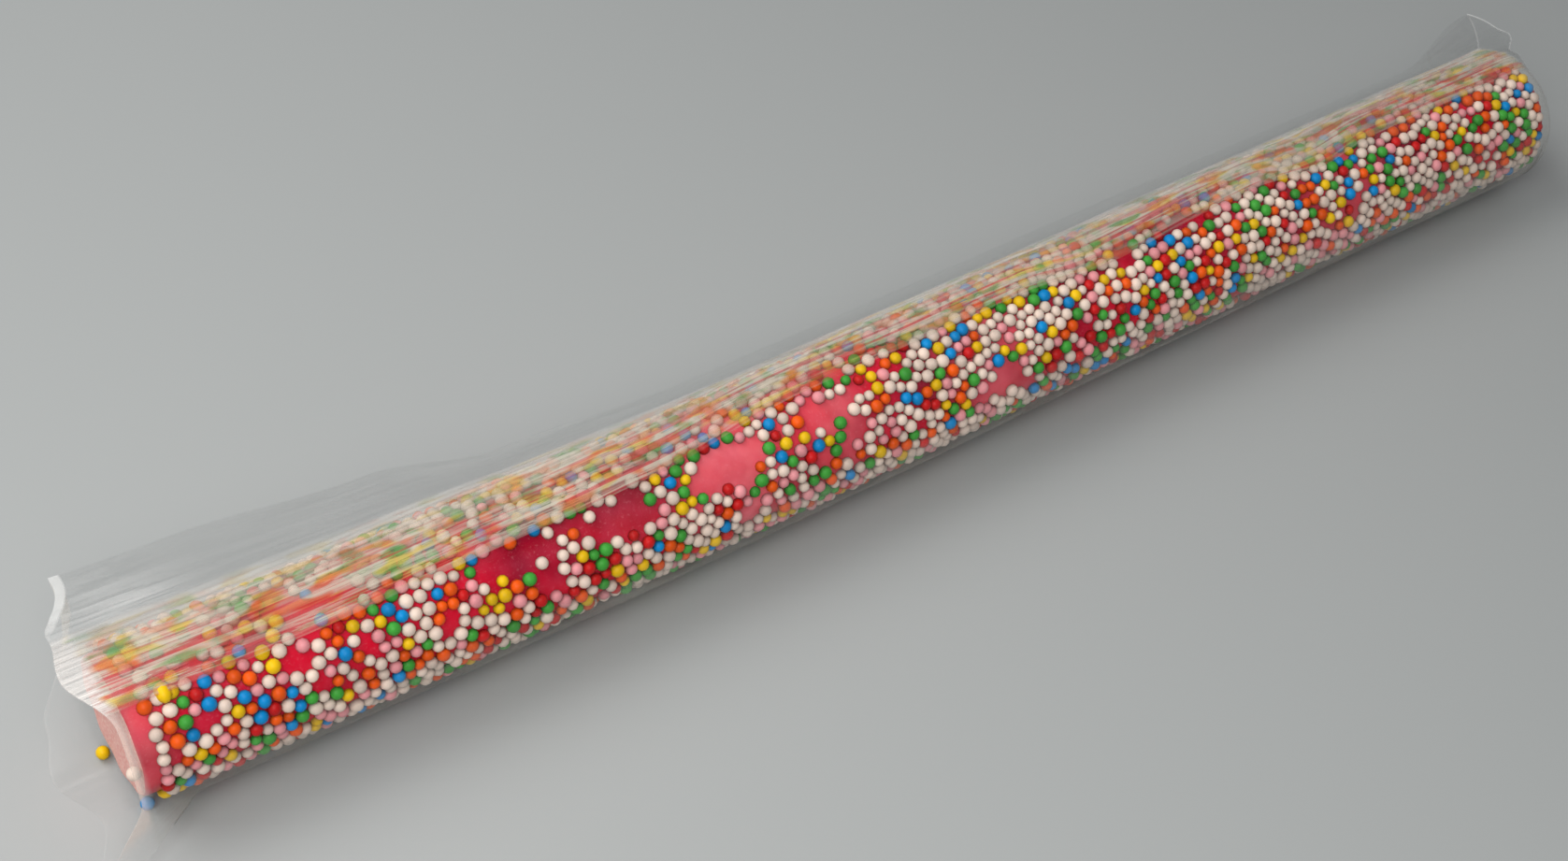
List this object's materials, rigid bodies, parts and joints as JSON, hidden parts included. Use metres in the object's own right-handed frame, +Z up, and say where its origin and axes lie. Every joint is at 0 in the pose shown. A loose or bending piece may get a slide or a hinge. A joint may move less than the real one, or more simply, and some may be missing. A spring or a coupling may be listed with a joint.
{
  "type": "candy stick",
  "caption": "Round candy stick rolled in small coloured sugar pearls, lying in a loose clear film sleeve with a pressed fold along one side and open, uneven ends.",
  "frame": {"origin": "centre of the bounding box at its bottom, the surface it lies on", "axes": "+X along the stick towards its far cut end, +Y towards the sleeve's pressed fold, +Z up"},
  "size_m": [0.2672, 0.0404, 0.0222],
  "materials": {
    "sugar_candy": "glossy boiled sugar",
    "clear_film": "thin clear film"
  },
  "bodies": {
    "root": {"candy_stick": "sugar_candy", "film_wrapper": "clear_film"}
  },
  "joints": []
}
